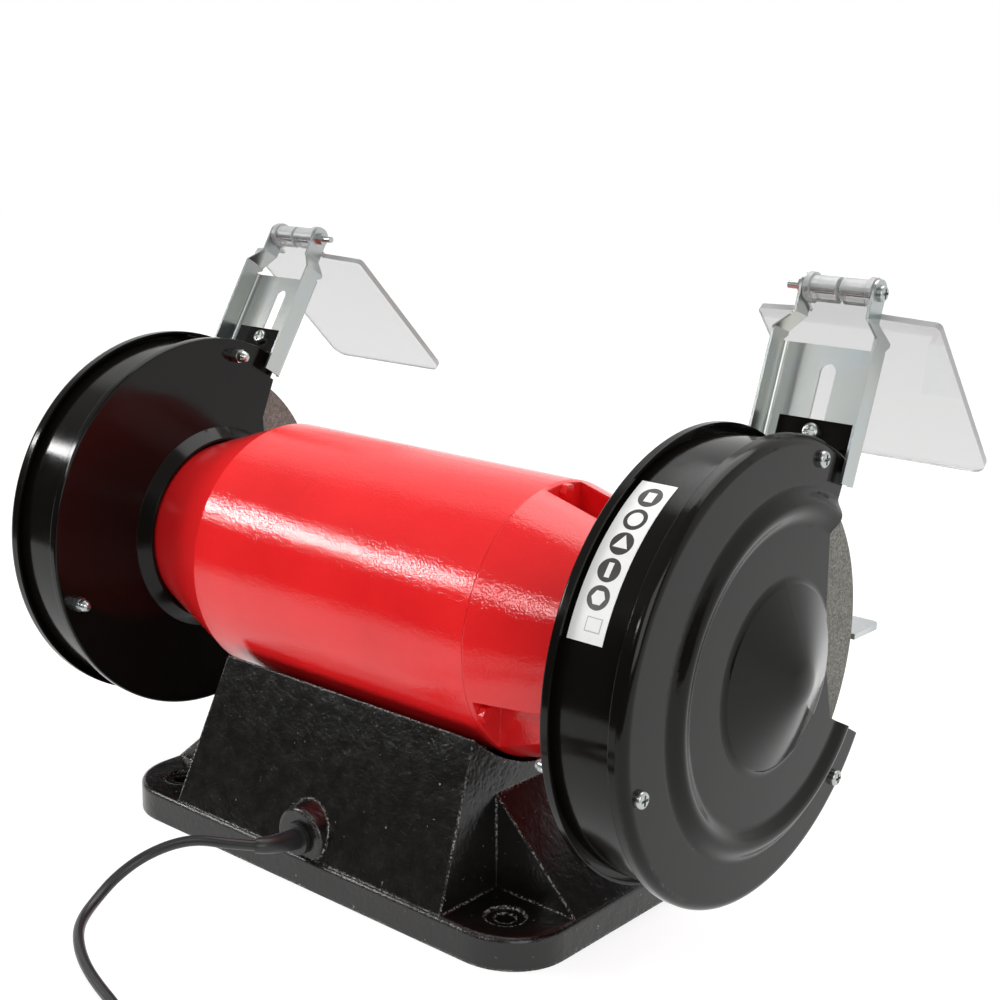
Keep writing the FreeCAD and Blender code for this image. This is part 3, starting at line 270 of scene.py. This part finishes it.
def motor_paint():
    """Thick bright red enamel with orange peel and brushed-on waves along the shaft."""
    s = Shader("motor_paint", (0.8, 0.02, 0.022), 0.1, specular=0.45)
    s.rounded(0.0009)
    tone = s.between(s.noise(14.0, detail=4.0), 0.35, 0.7)
    s.colour(s.mixed(tone, (0.88, 0.02, 0.022), (0.76, 0.014, 0.017)))
    waves = s.noise(1.0, place=s.stretched(20.0, 70.0, 70.0))
    s.bump(waves, strength=0.2, depth=0.0016)
    s.bump(s.noise(850.0, detail=2.0), strength=0.35, depth=0.0004)
    pits = s.between(s.cells(190.0).outputs["Distance"], 0.0, 0.3)
    s.bump(pits, strength=0.10, depth=0.0005)
    s.roughness(s.between(s.noise(45.0, detail=4.0), 0.3, 0.7, 0.05, 0.10))
    return s.material


def base_paint():
    """Black enamel over a rough sand casting, chipped pale along its edges."""
    s = Shader("base_paint", BLACK, 0.2)
    worn = s.edge_wear(0.0024, soft=0.2)
    s.rounded(0.0012)
    s.bump(s.noise(60.0, detail=4.0), strength=0.22, depth=0.0018)
    s.bump(s.noise(190.0, detail=5.0, rough=0.65), strength=0.3, depth=0.0008)
    grain = s.between(s.cells(330.0).outputs["Distance"], 0.1, 0.55)
    s.bump(grain, strength=0.1, depth=0.0005)
    s.roughness(s.between(s.noise(120.0, detail=5.0), 0.3, 0.7, 0.18, 0.26))
    flecks = s.between(s.noise(800.0, detail=4.0, rough=0.6), 0.51, 0.56)
    patches = s.between(s.noise(22.0), 0.38, 0.52)
    chips = s.maths("MULTIPLY", s.maths("MULTIPLY", flecks, patches), worn)
    strays = s.between(s.noise(300.0, detail=4.0, rough=0.7), 0.69, 0.72)
    bare = s.maths("MAXIMUM", chips, s.maths("MULTIPLY", strays, 0.5))
    s.colour(s.mixed(bare, BLACK, (0.62, 0.6, 0.57)))
    return s.material


def zinc(name, tint, roughness):
    """Bright zinc plate with a faint warm and cool cast in soft clouds."""
    s = Shader(name, tint, roughness, metallic=1.0)
    cloud = s.between(s.noise(38.0, detail=4.0), 0.3, 0.7)
    cool = s.mixed(cloud, tint, (0.42, 0.46, 0.47))
    warm = s.between(s.noise(32.0), 0.55, 0.75, 0.0, 0.35)
    s.colour(s.mixed(warm, cool, (0.52, 0.49, 0.39)))
    s.roughness(s.between(s.noise(160.0, detail=5.0), 0.3, 0.7, roughness - 0.01, roughness + 0.02))
    s.bump(s.noise(30.0, detail=2.0), strength=0.05, depth=0.001)
    return s.material


def plain_steel(name, colour, roughness):
    """Bare steel with darker clouds and a fine grain."""
    s = Shader(name, colour, roughness, metallic=1.0)
    dark = tuple(c * 0.7 for c in colour)
    s.colour(s.mixed(s.between(s.noise(90.0, detail=5.0), 0.35, 0.7), colour, dark))
    s.bump(s.noise(500.0), strength=0.08, depth=0.0003)
    return s.material


def abrasive():
    """Vitrified grit: pale and dark grains with open pores."""
    s = Shader("abrasive", (0.2, 0.19, 0.17), 0.93, specular=0.2)
    grains = s.cells(1100.0)
    tone = s.between(grains.outputs["Color"], 0.0, 1.0)
    base = s.mixed(tone, (0.09, 0.085, 0.075), (0.3, 0.29, 0.26))
    patch = s.between(s.noise(60.0, detail=5.0), 0.35, 0.65)
    s.colour(s.mixed(s.maths("MULTIPLY", patch, 0.35), base, (0.14, 0.135, 0.12)))
    s.bump(grains.outputs["Distance"], strength=0.7, depth=0.0006)
    s.bump(s.noise(380.0, detail=5.0, rough=0.7), strength=0.5, depth=0.0006)
    return s.material


def clear_shield():
    """Clear polycarbonate, a little grey, with fine scuffs and frosted edges and knuckles."""
    grey = (0.61, 0.61, 0.61)
    pane_facing = (0.0, -math.sqrt(0.5), math.sqrt(0.5))
    s = Shader("clear_shield", grey, 0.03)
    s.bsdf.inputs["IOR"].default_value = 1.5
    surface = s.tree.nodes.new("ShaderNodeTexCoord").outputs["Normal"]
    facing = s.maths("ABSOLUTE", s.dot(surface, pane_facing), 0.0)
    frosted = s.between(facing, 0.55, 0.95, 1.0, 0.0)
    s.colour(s.mixed(frosted, grey, (0.66, 0.67, 0.67)))
    s.fill(s.bsdf.inputs["Transmission Weight"], s.between(frosted, 0.0, 1.0, 1.0, 0.55))
    scuffs = s.between(s.noise(50.0, detail=6.0, rough=0.7), 0.45, 0.8, 0.02, 0.08)
    s.roughness(s.maths("ADD", scuffs, s.maths("MULTIPLY", frosted, 0.3)))
    s.bump(s.noise(18.0, detail=2.0), strength=0.03, depth=0.001)
    return s.material


def plastic(name, colour, roughness, grain):
    """Moulded plastic or rubber with a fine grain."""
    s = Shader(name, colour, roughness)
    s.bump(s.noise(grain, detail=4.0), strength=0.12, depth=0.0003)
    gloss = s.noise(grain / 8, detail=4.0)
    s.roughness(s.between(gloss, 0.3, 0.7, roughness - 0.06, roughness + 0.08))
    return s.material


def printed(name, light, dark):
    """Satin label stock or the ink on it, slightly mottled."""
    s = Shader(name, light, 0.35)
    s.colour(s.mixed(s.between(s.noise(140.0, detail=4.0), 0.4, 0.7), light, dark))
    s.bump(s.noise(260.0, detail=2.0), strength=0.04, depth=0.0002)
    return s.material


def copper():
    """Enamelled copper wire wound along the shaft."""
    s = Shader("copper_wire", (0.7, 0.3, 0.14), 0.3, metallic=0.9)
    strands = s.noise(1.0, place=s.stretched(300.0, 1400.0, 1400.0))
    s.colour(s.mixed(s.between(strands, 0.3, 0.7), (0.75, 0.34, 0.15), (0.4, 0.14, 0.05)))
    s.bump(strands, strength=0.4, depth=0.0006)
    return s.material


def blotter():
    """Fibrous card between a wheel and its flange."""
    s = Shader("paper", (0.5, 0.46, 0.36), 0.9)
    s.bump(s.noise(800.0, detail=4.0), strength=0.3, depth=0.0002)
    s.colour(s.mixed(s.noise(400.0, detail=5.0), (0.52, 0.48, 0.38), (0.42, 0.38, 0.3)))
    return s.material


finishes = {
    "guard_paint": guard_paint(),
    "motor_paint": motor_paint(),
    "base_paint": base_paint(),
    "zinc_steel": zinc("zinc_steel", (0.43, 0.44, 0.415), 0.3),
    "rest_metal": zinc("rest_metal", (0.62, 0.62, 0.62), 0.38),
    "plain_steel": plain_steel("plain_steel", (0.5, 0.5, 0.5), 0.35),
    "bearing_steel": plain_steel("bearing_steel", (0.68, 0.68, 0.7), 0.18),
    "lamination_steel": plain_steel("lamination_steel", (0.3, 0.3, 0.31), 0.42),
    "plated_pins": plain_steel("plated_pins", (0.8, 0.78, 0.72), 0.15),
    "copper_wire": copper(),
    "abrasive": abrasive(),
    "clear_shield": clear_shield(),
    "cord_rubber": plastic("cord_rubber", (0.012, 0.012, 0.013), 0.38, 900.0),
    "black_plastic": plastic("black_plastic", (0.016, 0.016, 0.017), 0.42, 1200.0),
    "switch_plastic": plastic("switch_plastic", (0.012, 0.012, 0.012), 0.25, 1500.0),
    "label": printed("label", (0.9, 0.9, 0.88), (0.86, 0.86, 0.84)),
    "paper": blotter(),
}

for entry in frame["record"]["subparts"]:
    for slot in nodes[entry["node"]].material_slots:
        slot.material = finishes[entry["material_slot"]]
mains_lead.data.materials.append(finishes["cord_rubber"])


# ---- label marks: millimetres ---------------------------------------------------------------
BAND_CENTRE = (7.7, 158.8)
BAND_RADIUS = 115.3
MARK_DEPTH = 0.12
UNDER_LIFT, OVER_LIFT = 0.05, 0.12
# the column of discs stands at one place along the shaft, at these degrees round the band
DISC_X, DISC_DEGREES, DISC_RADIUS = -200.7, (56.5, 49.6, 42.8, 35.9, 29.1), 6.0
PAGE_X, PAGE_DEGREES = -202.6, 22.9


def on_band(x, along, lift):
    """Point on the left guard's band, from millimetres along the shaft and round the hoop."""
    radius = BAND_RADIUS + lift
    turn = along / BAND_RADIUS
    return (x * MM, (BAND_CENTRE[0] + radius * math.cos(turn)) * MM,
            (BAND_CENTRE[1] + radius * math.sin(turn)) * MM)


def printed_shape(name, outline, x, degrees, lift, ink):
    """Thin closed shape that follows the band, from an outline drawn about its own centre."""
    rings, count = 4, len(outline)
    round_hoop = math.radians(degrees) * BAND_RADIUS
    verts, faces = [], []
    for height in (lift - MARK_DEPTH, lift):
        first = len(verts)
        verts.append(on_band(x, round_hoop, height))
        for ring in range(1, rings + 1):
            share = ring / rings
            verts += [on_band(x + a * share, round_hoop + b * share, height) for a, b in outline]
        flip = -1 if height == lift else 1
        for i in range(count):
            j = (i + 1) % count
            faces.append((first, first + 1 + i, first + 1 + j)[::flip])
            for ring in range(1, rings):
                low, high = first + 1 + (ring - 1) * count, first + 1 + ring * count
                faces.append((low + i, high + i, high + j, low + j)[::flip])
    rim_low, rim_high = 1 + (rings - 1) * count, len(verts) - count
    for i in range(count):
        j = (i + 1) % count
        faces.append((rim_low + i, rim_high + i, rim_high + j, rim_low + j))
    mesh = bpy.data.meshes.new(name)
    mesh.from_pydata(verts, [], faces)
    mesh.materials.append(ink)
    mark = bpy.data.objects.new(name, mesh)
    link(mark)
    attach(mark, "grinder")


def regular(sides, radius, start=0.0):
    """Corners of a regular polygon, the first at the start angle."""
    angles = [math.radians(start + 360 * i / sides) for i in range(sides)]
    return [(radius * math.cos(a), radius * math.sin(a)) for a in angles]


def rectangle(width, height, steps=6):
    """Points round a rectangle, with each side cut into steps so that it can bend."""
    x, y = width / 2, height / 2
    corners = [(-x, -y), (x, -y), (x, y), (-x, y)]
    points = []
    for (a0, b0), (a1, b1) in zip(corners, corners[1:] + corners[:1]):
        points += [(a0 + (a1 - a0) * i / steps, b0 + (b1 - b0) * i / steps) for i in range(steps)]
    return points


def make_label_marks():
    """A column of dark discs, each with a plain light shape, and a pale rectangle under them."""
    dark = printed("label_ink", (0.045, 0.042, 0.038), (0.06, 0.056, 0.05))
    light = printed("label_light", (0.88, 0.88, 0.86), (0.84, 0.84, 0.82))
    grey = printed("label_grey", (0.45, 0.45, 0.43), (0.5, 0.5, 0.48))
    signs = (rectangle(4.6, 6.0), regular(32, 3.9), regular(3, 4.6, 90), rectangle(2.8, 7.4),
             regular(6, 3.8))
    for i, (degrees, sign) in enumerate(zip(DISC_DEGREES, signs)):
        disc = regular(40, DISC_RADIUS)
        printed_shape(f"label_disc_{i}", disc, DISC_X, degrees, UNDER_LIFT, dark)
        printed_shape(f"label_sign_{i}", sign, DISC_X, degrees, OVER_LIFT, light)
    printed_shape("label_page", rectangle(8.6, 7.0), PAGE_X, PAGE_DEGREES, UNDER_LIFT, grey)
    printed_shape("label_page_fill", rectangle(7.6, 6.0), PAGE_X, PAGE_DEGREES, OVER_LIFT, light)


make_label_marks()


# ---- floor and light ------------------------------------------------------------------------
WHITE = (1.0, 1.0, 1.0, 1.0)
FLOOR_SIDE, FLOOR_FAR, FLOOR_NEAR = 4.0, -5.0, 0.55
FLOOR_GLOW = 0.82
# name, place, the point it faces, width, height and watts
SOFTBOXES = (
    ("strip", (1.44, 1.21, 1.0), (0, 0, 0.16), 0.9, 0.15, 16.0),
    ("cover_strip", (0.06, 1.75, 1.1), (0, 0, 0.16), 0.5, 0.14, 4.5),
    ("overhead", (0.0, -0.55, 1.9), (0, 0, 0.1), 1.8, 1.3, 22.0),
    ("left", (-1.7, 1.1, 0.9), (0, 0, 0.15), 1.2, 1.2, 15.0),
)


def make_floor():
    """White sheet that glows a little, so that it meets the white background without a line."""
    mesh = bpy.data.meshes.new("floor")
    corners = [(-FLOOR_SIDE, FLOOR_FAR, 0), (FLOOR_SIDE, FLOOR_FAR, 0), (FLOOR_SIDE, FLOOR_NEAR, 0),
               (-FLOOR_SIDE, FLOOR_NEAR, 0)]
    mesh.from_pydata(corners, [], [(0, 1, 2, 3)])
    floor = bpy.data.objects.new("floor", mesh)
    link(floor)
    s = Shader("floor", (0.32, 0.32, 0.32), 0.7, specular=0.05)
    s.bump(s.noise(40.0), strength=0.02, depth=0.001)
    s.bsdf.inputs["Emission Color"].default_value = WHITE
    s.bsdf.inputs["Emission Strength"].default_value = FLOOR_GLOW
    mesh.materials.append(s.material)


def softbox(name, place, target, width, height, power):
    data = bpy.data.lights.new(name, "AREA")
    data.shape = "RECTANGLE"
    data.size, data.size_y = width, height
    data.energy = power
    light = bpy.data.objects.new(name, data)
    light.location = place
    facing = Vector(target) - Vector(place)
    light.rotation_euler = facing.to_track_quat("-Z", "Y").to_euler()
    link(light)


def make_world():
    """White studio in front of the bench and overhead, dim behind, and white to the camera."""
    world = bpy.data.worlds.new("studio")
    world.use_nodes = True
    tree = world.node_tree
    parts = tree.nodes.new("ShaderNodeSeparateXYZ")
    tree.links.new(tree.nodes.new("ShaderNodeTexCoord").outputs["Generated"], parts.inputs[0])

    def ramp(socket, low, high, out_low, out_high):
        made = tree.nodes.new("ShaderNodeMapRange")
        made.interpolation_type = "SMOOTHSTEP"
        tree.links.new(socket, made.inputs["Value"])
        limits = {"From Min": low, "From Max": high, "To Min": out_low, "To Max": out_high}
        for key, value in limits.items():
            made.inputs[key].default_value = value
        return made.outputs["Result"]

    def brighter(a, b):
        made = tree.nodes.new("ShaderNodeMath")
        made.operation = "MAXIMUM"
        tree.links.new(a, made.inputs[0])
        tree.links.new(b, made.inputs[1])
        return made.outputs[0]

    front = ramp(parts.outputs["Y"], -0.15, 0.1, 1.0, 0.05)
    overhead = ramp(parts.outputs["Z"], 0.35, 0.6, 0.05, 0.35)
    seen = tree.nodes.new("ShaderNodeLightPath").outputs["Is Camera Ray"]
    background = tree.nodes["Background"]
    tree.links.new(brighter(brighter(front, overhead), seen), background.inputs["Strength"])
    background.inputs["Color"].default_value = WHITE
    bpy.context.scene.world = world


make_floor()
for settings in SOFTBOXES:
    softbox(*settings)
make_world()
bpy.context.scene.view_settings.view_transform = "Standard"

bpy.context.view_layer.update()
